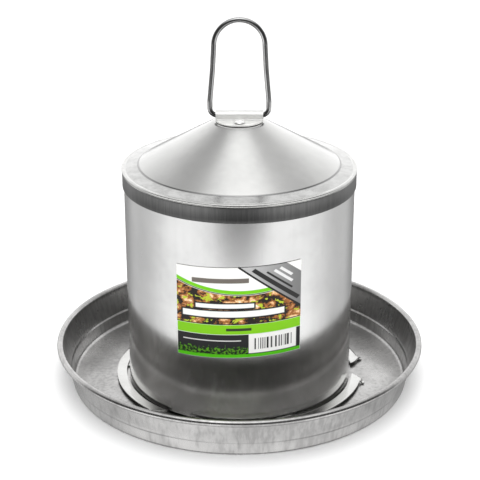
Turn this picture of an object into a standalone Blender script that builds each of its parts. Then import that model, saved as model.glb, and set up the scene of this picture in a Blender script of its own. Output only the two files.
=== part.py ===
"""Poultry waterer fount: a round steel tank, closed by a cone, twist-locked into a drinking pan.

Metres, +Z up.  The origin is the centre of the pan's underside, and the front is towards -Y.
Sheet parts are one-sided outlines of (radius, height) points, turned about Z and thickened
inwards.  Three bodies move: the pan stands still, the fount turns on Z, the bail folds on X.
"""

import math

import bmesh
import bpy

# Stock and clearances
SHEET = 0.0006            # steel sheet of the pan, the tank, the cap and the locking parts
GAP = 0.0003              # clearance left between touching pieces
SEGMENTS = 60             # facets round every large turned piece

# Pan
FLOOR_TOP = SHEET
PAN_FLOOR_R = 0.0992      # where the floor turns up
PAN_FILLET = 0.0022
PAN_STEP_Z = 0.0082       # pressed step in the wall
PAN_STEP_OUT = 0.0006
PAN_WALL_TOP_R = 0.1072
RIM_CURL_R = 0.0019
RIM_CURL_Z = 0.0240

# Tank
TANK_R = 0.0675           # outside
TANK_FOOT_Z = 0.0018
TANK_TOP_Z = 0.1320
OUTLET_D = 0.0090         # water outlet through the back of the tank
OUTLET_Z = 0.0100

# Cap
CAP_TOP_R = 0.0150
CAP_TOP_Z = 0.1613
CREASE_R = 0.0591         # where the cone meets the brim
CREASE_Z = 0.1363
BRIM_R = 0.0687           # outside of the bead round the brim
BRIM_EDGE_Z = 0.1347      # top of the bead
SKIRT_R = 0.0684          # outside
SKIRT_FOOT_Z = 0.1240

# Bayonet lock: three rails on the pan's floor, three lugs under the tank's edge
LOCK_COUNT = 3
RAIL_INNER_R = 0.0694
RAIL_OUTER_R = 0.0752
RAIL_TOP_Z = 0.0027
NOTCH_CENTRE = -1.25      # degrees, azimuth of the first notch between two rails
NOTCH_INNER = 5.65        # degrees, half the notch at the rails' inner edge
NOTCH_OUTER = 10.6        # degrees, half the notch at the rails' outer edge
EAR_WIDTH = 2.4           # degrees
LUG_REST = 53.0           # degrees, azimuth of the first lug when locked
LUG_WIDTH = 7.6           # degrees
LUG_LEG_R = 0.0665
LUG_TIP_R = 0.0730
LUG_TOP_Z = 0.0120
LUG_FOOT_TOP_Z = 0.0015
STOP_R = 0.0717
STOP_TOP_Z = RAIL_TOP_Z - SHEET - GAP

# Hanger saddle, rivets and bail
SADDLE_R = 0.0138
SADDLE_SHEET = 0.0008
SADDLE_TOP_Z = CAP_TOP_Z + GAP + SADDLE_SHEET
BARREL_R = 0.0027         # outside of the arch that holds the wire
BARREL_Z = 0.1645         # the wire's axis in the arch
RIVET_Y = 0.0085
RIVET_HOLE_D = 0.0038
RIVET_D = 0.0032
RIVET_HEAD_D = 0.0065
RIVET_HEAD_H = 0.0012
RIVET_TAIL_D = 0.0054
RIVET_TAIL_H = 0.0010
WASHER_D = 0.0090
WASHER_H = 0.0008
WIRE_D = 0.0030
BAIL_TOP_Z = 0.2200       # centre line
BAIL_ARCH_R = 0.0145      # centre line
BAIL_HIP_X = 0.0169       # centre line where the legs are widest
BAIL_HIP_Z = 0.1720
BAIL_CORNER_R = 0.0043
WIRE_END_GAP = 0.0010     # between the wire's two ends, inside the arch

# Label
LABEL_R = TANK_R + GAP + 0.0002
LABEL_SHEET = 0.0002
LABEL_CENTRE = -90.3      # degrees
LABEL_HALF = 30.6         # degrees
LABEL_FOOT_Z = 0.0430
LABEL_H = 0.0548
LABEL_TILT = math.radians(2.3)


def arc(centre_r, centre_z, radius, start, end, count):
    """Points on an arc, angles in degrees, counted anticlockwise from +radius."""
    angles = [math.radians(start + (end - start) * i / (count - 1)) for i in range(count)]
    return [(centre_r + radius * math.cos(a), centre_z + radius * math.sin(a)) for a in angles]


def polar(radius, degrees, z):
    """A point at a radius and an azimuth from +X."""
    a = math.radians(degrees)
    return (radius * math.cos(a), radius * math.sin(a), z)


def steel(name, colour, roughness, metallic=1.0):
    """A Principled material of one colour."""
    material = bpy.data.materials.new(name)
    material.use_nodes = True
    shader = material.node_tree.nodes["Principled BSDF"]
    shader.inputs["Base Color"].default_value = (*colour, 1.0)
    shader.inputs["Roughness"].default_value = roughness
    shader.inputs["Metallic"].default_value = metallic
    return material


def add_object(name, data, material, parent=None):
    """Link a mesh or curve as a named object under its body's empty."""
    piece = bpy.data.objects.new(name, data)
    bpy.context.scene.collection.objects.link(piece)
    piece.data.materials.append(material)
    piece.parent = parent
    return piece


def add_body(name, location=(0, 0, 0), parent=None):
    """An empty on a body's joint axis."""
    body = bpy.data.objects.new(name, None)
    bpy.context.scene.collection.objects.link(body)
    body.location = location
    body.parent = parent
    return body


def add_screw(piece):
    """Turn an outline in the XZ plane once round Z."""
    screw = piece.modifiers.new("turn", "SCREW")
    screw.axis = "Z"
    screw.steps = SEGMENTS
    screw.render_steps = SEGMENTS
    screw.use_merge_vertices = True
    screw.merge_threshold = 0.00002
    screw.use_smooth_shade = True


def add_thickness(piece, thickness):
    """Give a one-sided sheet its thickness, behind the side it shows."""
    solidify = piece.modifiers.new("sheet", "SOLIDIFY")
    solidify.thickness = thickness
    solidify.offset = -1.0
    solidify.use_even_offset = True


def add_boolean(piece, cutter, operation):
    """Cut a piece by, or join it to, a guide object."""
    boolean = piece.modifiers.new(cutter.name, "BOOLEAN")
    boolean.operation = operation
    boolean.solver = "EXACT"
    boolean.object = cutter
    cutter.hide_render = True
    cutter.display_type = "WIRE"


def outline_mesh(name, points, closed=False):
    """A wire mesh through (radius, height) points."""
    count = len(points)
    edges = [(i, (i + 1) % count) for i in range(count if closed else count - 1)]
    mesh = bpy.data.meshes.new(name)
    mesh.from_pydata([(r, 0.0, z) for r, z in points], edges, [])
    return mesh


def turned_sheet(name, points, material, parent):
    """A sheet part turned about Z.  Points run outwards from the axis."""
    piece = add_object(name, outline_mesh(name, points), material, parent)
    add_screw(piece)
    add_thickness(piece, SHEET)
    return piece


def turned_ring(name, inner_r, outer_r, foot_z, top_z, material, parent):
    """A plain ring of rectangular section."""
    points = [(outer_r, top_z), (outer_r, foot_z), (inner_r, foot_z), (inner_r, top_z)]
    piece = add_object(name, outline_mesh(name, points, closed=True), material, parent)
    add_screw(piece)
    return piece


def grid_mesh(name, rows):
    """A mesh of quads through rows of points of equal length, wound so that it shows outwards."""
    bm = bmesh.new()
    verts = [[bm.verts.new(point) for point in row] for row in rows]
    for upper, lower in zip(verts, verts[1:]):
        for i in range(len(upper) - 1):
            bm.faces.new((upper[i], lower[i], lower[i + 1], upper[i + 1]))
    mesh = bpy.data.meshes.new(name)
    bm.to_mesh(mesh)
    bm.free()
    mesh.shade_smooth()
    return mesh


def round_bars(name, bars, segments=24):
    """Upright or tapered round bars in one guide mesh: (x, y, foot z, top z, foot r, top r)."""
    bm = bmesh.new()
    for x, y, foot_z, top_z, foot_r, top_r in bars:
        made = bmesh.ops.create_cone(
            bm, cap_ends=True, segments=segments, radius1=foot_r, radius2=top_r, depth=top_z - foot_z)
        bmesh.ops.translate(bm, verts=made["verts"], vec=(x, y, (foot_z + top_z) / 2))
    mesh = bpy.data.meshes.new(name)
    bm.to_mesh(mesh)
    bm.free()
    guide = bpy.data.objects.new(name, mesh)
    bpy.context.scene.collection.objects.link(guide)
    return guide


def lock_angles(first):
    """The azimuths, in degrees, of one feature of the lock and its repeats."""
    return [first + 360.0 / LOCK_COUNT * i for i in range(LOCK_COUNT)]


def make_pan(parent):
    """Pressed tray: flat floor, stepped flaring wall and a rim curled outwards."""
    wall_foot_r = PAN_FLOOR_R + PAN_FILLET
    step_r = wall_foot_r + 0.0013
    points = [(0.0, FLOOR_TOP), (0.060, FLOOR_TOP)]
    points += arc(PAN_FLOOR_R, FLOOR_TOP + PAN_FILLET, PAN_FILLET, -90, 0, 4)
    points += [
        (step_r, PAN_STEP_Z),
        (step_r + PAN_STEP_OUT, PAN_STEP_Z + 0.0011),
        (step_r + PAN_STEP_OUT + 0.0003, PAN_STEP_Z + 0.0026)]
    points += arc(PAN_WALL_TOP_R + RIM_CURL_R, RIM_CURL_Z, RIM_CURL_R, 180, -95, 11)
    pan = turned_sheet("pan_tray", points, steel("pan_steel", (0.60, 0.59, 0.58), 0.28), parent)

    centres = [polar(STOP_R, a, 0) for a in lock_angles(NOTCH_CENTRE + 180.0 / LOCK_COUNT)]
    bosses = [(x, y, SHEET / 2, STOP_TOP_Z, 0.0019, 0.0014) for x, y, _ in centres]
    hollows = [(x, y, -SHEET, STOP_TOP_Z - SHEET, 0.0014, 0.0008) for x, y, _ in centres]
    add_boolean(pan, round_bars("stop_bosses", bosses, 12), "UNION")
    add_boolean(pan, round_bars("stop_hollows", hollows, 12), "DIFFERENCE")


def make_rails(parent):
    """Three raised arc plates; an ear at each end's outer corner bends down to the floor."""
    material = steel("rail_steel", (0.70, 0.70, 0.69), 0.22)
    ear = [(RAIL_OUTER_R + 0.0006, RAIL_TOP_Z - 0.0003),
           (RAIL_OUTER_R + 0.0014, FLOOR_TOP + GAP + SHEET + 0.0002),
           (RAIL_OUTER_R + 0.0026, FLOOR_TOP + GAP + SHEET)]
    columns = 24
    for number, notch in enumerate(lock_angles(NOTCH_CENTRE), start=1):
        bm = bmesh.new()
        edges = []
        for radius, half_notch in ((RAIL_INNER_R, NOTCH_INNER), (RAIL_OUTER_R, NOTCH_OUTER)):
            start = notch + half_notch
            end = notch + 360.0 / LOCK_COUNT - half_notch
            first, last = start + EAR_WIDTH, end - EAR_WIDTH
            inner = [first + (last - first) * i / columns for i in range(columns + 1)]
            edges.append([bm.verts.new(polar(radius, a, RAIL_TOP_Z)) for a in [start, *inner, end]])
        for i in range(len(edges[0]) - 1):
            bm.faces.new((edges[0][i], edges[1][i], edges[1][i + 1], edges[0][i + 1]))
        outer_start = notch + NOTCH_OUTER
        outer_end = notch + 360.0 / LOCK_COUNT - NOTCH_OUTER
        for low, at in ((outer_start, 0), (outer_end - EAR_WIDTH, len(edges[1]) - 2)):
            near, far = edges[1][at], edges[1][at + 1]
            for radius, z in ear:
                next_near = bm.verts.new(polar(radius, low, z))
                next_far = bm.verts.new(polar(radius, low + EAR_WIDTH, z))
                bm.faces.new((near, next_near, next_far, far))
                near, far = next_near, next_far
        mesh = bpy.data.meshes.new(f"lock_rail_{number}")
        bm.to_mesh(mesh)
        bm.free()
        mesh.shade_smooth()
        add_thickness(add_object(mesh.name, mesh, material, parent), SHEET)


def make_tank(parent):
    """Rolled tank wall with the water outlet through its back."""
    tank = turned_ring(
        "tank_wall", TANK_R - SHEET, TANK_R, TANK_FOOT_Z, TANK_TOP_Z,
        steel("tank_steel", (0.62, 0.62, 0.62), 0.24), parent)
    drill = round_bars("outlet_drill", [(0, 0, -0.005, 0.005, OUTLET_D / 2, OUTLET_D / 2)])
    drill.rotation_euler = (math.pi / 2, 0, 0)
    drill.location = (0, TANK_R, OUTLET_Z)
    add_boolean(tank, drill, "DIFFERENCE")


def make_lugs(parent):
    """Three L-shaped lugs inside the tank's foot, whose toes reach out under the rails."""
    material = steel("lug_steel", (0.58, 0.58, 0.57), 0.30)
    bend = LUG_FOOT_TOP_Z + 0.0006
    outline = [(LUG_LEG_R, LUG_TOP_Z), (LUG_LEG_R, bend), (LUG_LEG_R + 0.0006, LUG_FOOT_TOP_Z),
               (LUG_TIP_R, LUG_FOOT_TOP_Z)]
    for number, centre in enumerate(lock_angles(LUG_REST), start=1):
        angles = [centre + LUG_WIDTH * (i / 4 - 0.5) for i in range(5)]
        rows = [[polar(r, a, z) for a in angles] for r, z in outline]
        lug = add_object(
            f"lock_lug_{number}", grid_mesh(f"lock_lug_{number}", rows), material, parent)
        add_thickness(lug, SHEET)


def make_cap(parent):
    """Spun cone, brim and skirt in one sheet, with two rivet holes in its flat top."""
    slope = math.atan2(CAP_TOP_Z - CREASE_Z, CREASE_R - CAP_TOP_R)
    down = math.degrees(slope)
    fillet = 0.0040
    reach = fillet * math.tan(slope / 2)
    points = [(0.0, CAP_TOP_Z), (0.0060, CAP_TOP_Z)]
    points += arc(CAP_TOP_R - reach, CAP_TOP_Z - fillet, fillet, 90, 90 - down, 4)
    brim_slope = math.atan2(CREASE_Z - BRIM_EDGE_Z, BRIM_R - CREASE_R)
    turn = 0.0030
    reach = turn * math.tan((slope - brim_slope) / 2)
    near = (CREASE_R - reach * math.cos(slope), CREASE_Z + reach * math.sin(slope))
    centre = (near[0] + turn * math.sin(slope), near[1] + turn * math.cos(slope))
    points += arc(*centre, turn, 270 - down, 270 - math.degrees(brim_slope), 4)
    points += [
        (BRIM_R - 0.0010, BRIM_EDGE_Z),
        (BRIM_R - 0.0003, BRIM_EDGE_Z - 0.0002),
        (BRIM_R, BRIM_EDGE_Z - 0.0007),
        (SKIRT_R - 0.0001, BRIM_EDGE_Z - 0.0017),
        (SKIRT_R, BRIM_EDGE_Z - 0.0025),
        (SKIRT_R, SKIRT_FOOT_Z)]
    cap = turned_sheet("cap_cone", points, steel("cap_steel", (0.62, 0.62, 0.61), 0.26), parent)
    holes = [(0, side * RIVET_Y, CAP_TOP_Z - 0.005, CAP_TOP_Z + 0.005,
              RIVET_HOLE_D / 2, RIVET_HOLE_D / 2) for side in (-1, 1)]
    drill = round_bars("rivet_hole_drill", holes, 16)
    add_boolean(cap, drill, "DIFFERENCE")

    turned_ring(
        "cap_seal", TANK_R - 0.0011, TANK_R - 0.0002, TANK_TOP_Z + GAP, BRIM_EDGE_Z - SHEET - GAP,
        steel("seal_compound", (0.30, 0.30, 0.29), 0.60, 0.0), parent)


def make_saddle(parent):
    """Round blank with an arch pressed across it for the wire, riveted to the cap."""
    material = steel("saddle_steel", (0.72, 0.72, 0.71), 0.20)
    half = SADDLE_R + 0.001
    bend = 0.0009
    section = [(half, SADDLE_TOP_Z)]
    section += arc(BARREL_R + bend, SADDLE_TOP_Z + bend, bend, 270, 180, 4)
    section += arc(0.0, BARREL_Z, BARREL_R, 0, 180, 11)
    section += [(-y, z) for y, z in reversed(section[:5])]
    rows = [[(x, y, z) for x in (-half, half)] for y, z in section]
    saddle = add_object("hanger_saddle", grid_mesh("hanger_saddle", rows), material, parent)
    add_thickness(saddle, SADDLE_SHEET)
    holes = [(0, side * RIVET_Y, CAP_TOP_Z - 0.005, CAP_TOP_Z + 0.005,
              RIVET_HOLE_D / 2, RIVET_HOLE_D / 2) for side in (-1, 1)]
    add_boolean(saddle, round_bars("saddle_hole_drill", holes, 16), "DIFFERENCE")
    blank = round_bars(
        "saddle_blank", [(0, 0, CAP_TOP_Z - 0.01, CAP_TOP_Z + 0.02, SADDLE_R, SADDLE_R)], 48)
    add_boolean(saddle, blank, "INTERSECT")

    steel_rivet = steel("rivet_steel", (0.66, 0.66, 0.65), 0.25)
    washer_black = steel("washer_rubber", (0.04, 0.04, 0.04), 0.60, 0.0)
    washer_top = CAP_TOP_Z - SHEET - GAP
    head_foot = SADDLE_TOP_Z + GAP
    tail_top = washer_top - WASHER_H - GAP
    head_r = RIVET_HEAD_D / 2
    head = [(head_r * math.sin(math.radians(a)), head_foot + RIVET_HEAD_H * math.cos(math.radians(a)))
            for a in (0, 22, 45, 67, 90)]
    rivet = head + [
        (RIVET_D / 2, head_foot), (RIVET_D / 2, tail_top), (RIVET_TAIL_D / 2, tail_top),
        (RIVET_TAIL_D / 2, tail_top - RIVET_TAIL_H), (0.0, tail_top - RIVET_TAIL_H)]
    washer = [(WASHER_D / 2, washer_top), (WASHER_D / 2, washer_top - WASHER_H),
              (RIVET_HOLE_D / 2, washer_top - WASHER_H), (RIVET_HOLE_D / 2, washer_top)]
    for place, side in (("front", -1), ("back", 1)):
        for name, points, closed, surface in (
                (f"saddle_rivet_{place}", rivet, False, steel_rivet),
                (f"rivet_washer_{place}", washer, True, washer_black)):
            piece = add_object(name, outline_mesh(name, points, closed), surface, parent)
            piece.location = (0, side * RIVET_Y, 0)
            add_screw(piece)
            piece.modifiers["turn"].steps = piece.modifiers["turn"].render_steps = 20


def make_bail(parent):
    """Bail of round wire, bent to a loop whose ends meet inside the saddle's arch."""
    arch_z = BAIL_TOP_Z - BAIL_ARCH_R - BARREL_Z
    hip_z = BAIL_HIP_Z - BARREL_Z
    corner_x = BAIL_HIP_X - BAIL_CORNER_R
    right = [(WIRE_END_GAP / 2, 0.0), (0.006, 0.0)]
    right += arc(corner_x, BAIL_CORNER_R, BAIL_CORNER_R, -90, 0, 9)
    right += [(BAIL_HIP_X, hip_z), (BAIL_HIP_X - 0.0003, hip_z + 0.003)]
    right += [(0.0153, 0.0265), (BAIL_ARCH_R, arch_z - 0.004)]
    right += arc(0.0, arch_z, BAIL_ARCH_R, 0, 90, 13)
    left = [(-x, z) for x, z in reversed(right[:-1])]
    points = right + left
    curve = bpy.data.curves.new("bail_wire", "CURVE")
    curve.dimensions = "3D"
    curve.bevel_depth = WIRE_D / 2
    curve.bevel_resolution = 4
    curve.use_fill_caps = True
    spline = curve.splines.new("POLY")
    spline.points.add(len(points) - 1)
    for point, (x, z) in zip(spline.points, points):
        point.co = (x, 0.0, z, 1.0)
    add_object("bail_wire", curve, steel("wire_steel", (0.70, 0.70, 0.70), 0.12), parent)


def make_label(parent):
    """Printed label wrapped round the tank's front, stuck on a little askew."""
    columns = 20
    rows = []
    for height in (LABEL_H, 0.0):
        row = []
        for i in range(columns + 1):
            offset = LABEL_HALF * (2 * i / columns - 1)
            lift = math.tan(LABEL_TILT) * LABEL_R * math.radians(offset)
            row.append(polar(LABEL_R, LABEL_CENTRE + offset, LABEL_FOOT_Z + height + lift))
        rows.append(row)
    paper = steel("label_paper", (0.75, 0.78, 0.72), 0.45, 0.0)
    add_thickness(add_object("label", grid_mesh("label", rows), paper, parent), LABEL_SHEET)


for old in list(bpy.data.objects):
    bpy.data.objects.remove(old, do_unlink=True)

pan_body = add_body("pan_body")
fount_body = add_body("fount_body", parent=pan_body)
bail_body = add_body("bail_body", location=(0, 0, BARREL_Z), parent=fount_body)

make_pan(pan_body)
make_rails(pan_body)
make_tank(fount_body)
make_lugs(fount_body)
make_cap(fount_body)
make_saddle(fount_body)
make_label(fount_body)
make_bail(bail_body)
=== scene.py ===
"""Poultry waterer fount: steel drinking tank, twist-locked into a round pan, with a wire bail."""

import math

import bpy
import numpy as np
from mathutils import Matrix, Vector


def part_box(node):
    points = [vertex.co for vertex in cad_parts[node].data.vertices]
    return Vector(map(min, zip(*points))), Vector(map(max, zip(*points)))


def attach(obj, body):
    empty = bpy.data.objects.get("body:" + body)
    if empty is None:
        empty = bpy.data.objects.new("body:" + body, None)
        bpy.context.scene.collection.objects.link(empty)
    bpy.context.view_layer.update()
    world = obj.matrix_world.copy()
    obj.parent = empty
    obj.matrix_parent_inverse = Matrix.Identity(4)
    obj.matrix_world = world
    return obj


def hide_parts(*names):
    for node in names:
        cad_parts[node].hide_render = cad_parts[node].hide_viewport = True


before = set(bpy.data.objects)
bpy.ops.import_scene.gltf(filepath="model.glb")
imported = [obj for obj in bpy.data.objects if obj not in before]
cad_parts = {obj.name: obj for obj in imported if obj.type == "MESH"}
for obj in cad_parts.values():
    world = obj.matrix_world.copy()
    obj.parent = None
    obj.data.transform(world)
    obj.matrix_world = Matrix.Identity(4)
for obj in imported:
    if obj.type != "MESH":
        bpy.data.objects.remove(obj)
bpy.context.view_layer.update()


# ---------------------------------------------------------------------------------------------
# Pan.  A blank of 0.6 mm stainless sheet, drawn to a tray with a stepped, flaring wall whose rim
# is curled outwards so that no cut edge is left for a bird to touch.
# ---------------------------------------------------------------------------------------------

sheet = 0.0006
around = 288


def arc_points(centre, radius, start, end, count):
    """Points centre + radius * (cos a, sin a), with a going from start to end in degrees."""
    a = np.radians(np.linspace(start, end, count))
    return np.column_stack([centre[0] + radius * np.cos(a), centre[1] + radius * np.sin(a)])


def rounded(corners, radii, spacing=0.0015, steps=9):
    """A line through corners, each bent round an arc of its own radius, with points along its legs.

    At a corner that turns by t, the arc starts and ends r * tan(t / 2) away from the corner and
    its centre is r / cos(t / 2) away, along the bisector of the two legs.
    """
    corners = np.asarray(corners, float)
    stops = [corners[:1]]
    for before, corner, after, radius in zip(corners, corners[1:], corners[2:], radii):
        come = (before - corner) / np.linalg.norm(before - corner)
        leave = (after - corner) / np.linalg.norm(after - corner)
        half_turn = (math.pi - math.acos(np.clip(come @ leave, -1, 1))) / 2
        bisector = (come + leave) / np.linalg.norm(come + leave)
        centre = corner + bisector * radius / math.cos(half_turn)
        a = np.linspace(-half_turn, half_turn, steps)[:, None]
        side = (leave - come) / np.linalg.norm(leave - come)
        stops.append(centre + radius * (np.sin(a) * side - np.cos(a) * bisector))
    stops.append(corners[-1:])
    line = [stops[0]]
    for arc, following in zip(stops, stops[1:]):
        count = max(1, int(np.linalg.norm(following[0] - arc[-1]) / spacing))
        share = np.linspace(0, 1, count + 1)[1:, None]
        line.append(arc[-1] + (following[0] - arc[-1]) * share)
        line.append(following[1:])
    return np.vstack(line)


def walled(line, thickness, steps=7):
    """The closed section of a sheet whose outer side is the line.

    The inner side is the line moved by the thickness along its normal, which is the tangent
    turned clockwise, and a half circle closes each end that isn't on the axis.
    """
    tangent = np.gradient(line, axis=0)
    tangent /= np.linalg.norm(tangent, axis=1)[:, None]
    normal = np.column_stack([tangent[:, 1], -tangent[:, 0]])
    inner = line + normal * thickness

    def edge(at, turn):
        middle = (line[at] + inner[at]) / 2
        a = np.radians(np.linspace(0, 180, steps + 2)[1:-1])[:, None]
        return middle + thickness / 2 * (-np.cos(a) * normal[at] * turn + np.sin(a) * tangent[at] * turn)

    section = [line, edge(-1, 1.0), inner[::-1]]
    if line[0, 0] > 1e-6:
        section.append(edge(0, -1.0))
    else:
        inner[0, 0] = 0.0
    return np.vstack(section)


def put(name, vertices, faces, uv=None, sharp=40.0):
    """A mesh object at the origin, from arrays of vertices, faces and corner UVs."""
    mesh = bpy.data.meshes.new(name)
    mesh.from_pydata(vertices, [], faces)
    if uv is not None:
        layer = mesh.uv_layers.new(name="UVMap")
        corners = np.zeros(len(mesh.loops), np.int32)
        mesh.loops.foreach_get("vertex_index", corners)
        layer.data.foreach_set("uv", np.asarray(uv, np.float32)[corners].ravel())
    mesh.shade_smooth()
    mesh.set_sharp_from_angle(angle=math.radians(sharp))
    piece = bpy.data.objects.new(name, mesh)
    bpy.context.scene.collection.objects.link(piece)
    return piece


def grid_faces(rows, columns, wrap_rows=False, wrap_columns=False):
    """Quads between neighbours of a rows x columns grid of vertices."""
    i, j = np.meshgrid(
        np.arange(rows if wrap_rows else rows - 1),
        np.arange(columns if wrap_columns else columns - 1), indexing="ij")
    i, j = i.ravel(), j.ravel()
    ni, nj = (i + 1) % rows, (j + 1) % columns
    return np.column_stack([i * columns + j, ni * columns + j, ni * columns + nj, i * columns + nj])


def turned(name, section, around=around, shape=None, centre=(0.0, 0.0)):
    """A surface of revolution: P(s, a) = (r(s) cos a, r(s) sin a, z(s)), closed in a.

    A section that starts or ends on the axis gets one vertex there; any other is closed in s.
    shape(r, a, z) may return a changed (r, z) for small departures from round.
    """
    on_axis = section[0, 0] < 1e-6
    ring = section[1:-1] if on_axis else section
    a = np.linspace(0, 2 * math.pi, around, endpoint=False)
    r = np.repeat(ring[:, 0, None], around, axis=1)
    z = np.repeat(ring[:, 1, None], around, axis=1)
    if shape is not None:
        r, z = shape(r, a[None, :], z)
    vertices = np.stack([centre[0] + r * np.cos(a), centre[1] + r * np.sin(a), z], axis=-1).reshape(-1, 3)
    faces = grid_faces(len(ring), around, wrap_rows=not on_axis, wrap_columns=True)
    faces = faces.tolist()
    if on_axis:
        poles = [[centre[0], centre[1], section[0, 1]], [centre[0], centre[1], section[-1, 1]]]
        first, last = len(vertices), len(vertices) + 1
        vertices = np.vstack([vertices, poles])
        j = np.arange(around)
        nj = (j + 1) % around
        base = (len(ring) - 1) * around
        faces += np.column_stack([np.full(around, first), j, nj]).tolist()
        faces += np.column_stack([np.full(around, last), base + nj, base + j]).tolist()
    return put(name, vertices, faces)


def node_of(tree, kind, **inputs):
    """A shader node with its inputs set, or linked where the value is another node's socket."""
    node = tree.nodes.new(kind)
    for key, value in inputs.items():
        socket = node.inputs[key.replace("_", " ")] if isinstance(key, str) else node.inputs[key]
        if isinstance(value, bpy.types.NodeSocket):
            tree.links.new(value, socket)
        else:
            socket.default_value = value
    return node


def maths(tree, operation, *values, clamp=False):
    """One Math node on sockets or numbers, as its output socket."""
    node = tree.nodes.new("ShaderNodeMath")
    node.operation = operation
    node.use_clamp = clamp
    for socket, value in zip(node.inputs, values):
        if isinstance(value, bpy.types.NodeSocket):
            tree.links.new(value, socket)
        else:
            socket.default_value = value
    return node.outputs[0]


def ramp(tree, value, low, high, out_low=0.0, out_high=1.0):
    """A smooth change from out_low to out_high as the value goes from low to high."""
    node = node_of(tree, "ShaderNodeMapRange")
    node.interpolation_type = "SMOOTHSTEP"
    tree.links.new(value, node.inputs["Value"])
    for key, number in (("From Min", low), ("From Max", high), ("To Min", out_low), ("To Max", out_high)):
        node.inputs[key].default_value = number
    return node.outputs["Result"]


def noise(tree, vector, scale, stretch=(1, 1, 1), detail=3.0, rough=0.5, place=(0, 0, 0)):
    """Noise in a stretched copy of the vector, as its value socket."""
    mapping = node_of(tree, "ShaderNodeMapping", Vector=vector, Location=place, Scale=stretch)
    made = node_of(
        tree, "ShaderNodeTexNoise", Vector=mapping.outputs["Vector"], Scale=scale, Detail=detail,
        Roughness=rough)
    return made.outputs["Fac"]


def mixed(tree, factor, first, second):
    """A colour between two, each a socket or three numbers."""
    node = tree.nodes.new("ShaderNodeMix")
    node.data_type = "RGBA"
    tree.links.new(factor, node.inputs["Factor"])
    for socket, value in zip((node.inputs["A"], node.inputs["B"]), (first, second)):
        if isinstance(value, bpy.types.NodeSocket):
            tree.links.new(value, socket)
        else:
            socket.default_value = (*value, 1.0)
    return node.outputs["Result"]


def stainless(name, bright, dull, shine, grain, grain_depth, smudge=0.05, dents=0.000008, film=0.2,
              metal=1.0, scuffs=0.0):
    """Stainless sheet.  Cloudy smudges change its colour and its roughness a little, grain is fine
    rolling or spinning marks, stretched as the three numbers say, dents are shallow waves, and a
    thin clear film, as strong as film says, mirrors what is near over the broad sheen.  Scuffs
    darken the deeper marks; a metal share below 1 gives the satin look of fine blasting."""
    material = bpy.data.materials.new(name)
    material.use_nodes = True
    tree = material.node_tree
    shader = tree.nodes["Principled BSDF"]
    shader.inputs["Metallic"].default_value = metal
    shader.inputs["Coat Weight"].default_value = film
    shader.inputs["Coat Roughness"].default_value = 0.04
    shader.inputs["Coat IOR"].default_value = 1.6
    place = node_of(tree, "ShaderNodeTexCoord").outputs["Object"]
    cloud = noise(tree, place, 28.0, detail=5.0, rough=0.62)
    marks = noise(tree, place, 1.0, stretch=grain, detail=4.0, rough=0.6)
    wave = noise(tree, place, 45.0, detail=1.0, place=(3.1, 0.7, 1.9))
    tint = mixed(tree, ramp(tree, cloud, 0.35, 0.68), bright, dull)
    if scuffs:
        scuffed = tuple(scuffs * channel for channel in dull)
        tint = mixed(tree, ramp(tree, maths(tree, "MULTIPLY", marks, cloud), 0.20, 0.38), tint, scuffed)
    tree.links.new(tint, shader.inputs["Base Color"])
    cloudy = maths(tree, "MULTIPLY_ADD", maths(tree, "SUBTRACT", cloud, 0.5), smudge * 2, shine)
    streaky = maths(tree, "MULTIPLY_ADD", maths(tree, "SUBTRACT", marks, 0.5), smudge * 1.5, cloudy)
    tree.links.new(streaky, shader.inputs["Roughness"])
    fine = node_of(tree, "ShaderNodeBump", Height=marks, Strength=1.0, Distance=grain_depth)
    broad = node_of(
        tree, "ShaderNodeBump", Height=wave, Strength=1.0, Distance=dents,
        Normal=fine.outputs["Normal"])
    tree.links.new(broad.outputs["Normal"], shader.inputs["Normal"])
    return material


def finish_piece(piece, material, body, slot, *nodes):
    """Give a piece its material and its body, and hide the CAD nodes that it stands for; the slot is not
    used.
    """
    piece.data.materials.clear()
    piece.data.materials.append(material)
    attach(piece, body)
    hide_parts(*nodes)


pan_rim_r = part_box("pan_tray")[1].x
pan_top_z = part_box("pan_tray")[1].z
curl_r = 0.0019
floor_r = 0.1014
wall_top_r = pan_rim_r - 2 * curl_r
curl_z = pan_top_z - curl_r

pan_line = rounded(
    [(0.0, sheet), (floor_r, sheet), (floor_r + 0.0013, 0.0082), (floor_r + 0.0019, 0.0093),
     (floor_r + 0.0022, 0.0108), (wall_top_r, curl_z)],
    [0.0022, 0.0008, 0.0008, 0.0020])
pan_line = np.vstack([
    pan_line, arc_points((wall_top_r + curl_r, curl_z), curl_r, 180, -95, 40)[1:]])


def drawn_wall(r, a, z):
    """Drawing leaves the wall a few hundredths of a millimetre out of round, more towards the rim."""
    share = np.clip((r - 0.09) / 0.02, 0, 1) ** 2
    ripple = np.sin(5 * a + 0.6) + 0.6 * np.sin(9 * a + 2.1)
    ripple = ripple + 0.5 * np.sin(17 * a) + 0.3 * np.sin(31 * a + 1.0)
    return r + 0.00003 * share * (ripple - 2.4), z


pan = turned("pan", walled(pan_line, sheet), shape=drawn_wall)

# A dimple pressed up under the middle of each rail stops the lug that slides in.
stop_r = 0.0717
stop_azimuths = (58.75, 178.75, 298.75)
stop_clearance = 0.00006
stop_top_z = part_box("lock_rail_1")[1].z - sheet - stop_clearance
dimple_r = 0.0019
dimple_line = rounded(
    [(0.0, stop_top_z), (0.0014, stop_top_z), (dimple_r, sheet), (dimple_r + 0.0004, sheet)],
    [0.0003, 0.0003], spacing=0.0004, steps=5)


def apply_modifiers(piece, *cutters):
    """Turn a piece's modifiers into mesh and remove the cutters."""
    depsgraph = bpy.context.evaluated_depsgraph_get()
    made = bpy.data.meshes.new_from_object(piece.evaluated_get(depsgraph))
    piece.modifiers.clear()
    piece.data = made
    for cutter in cutters:
        bpy.data.objects.remove(cutter)


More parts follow.
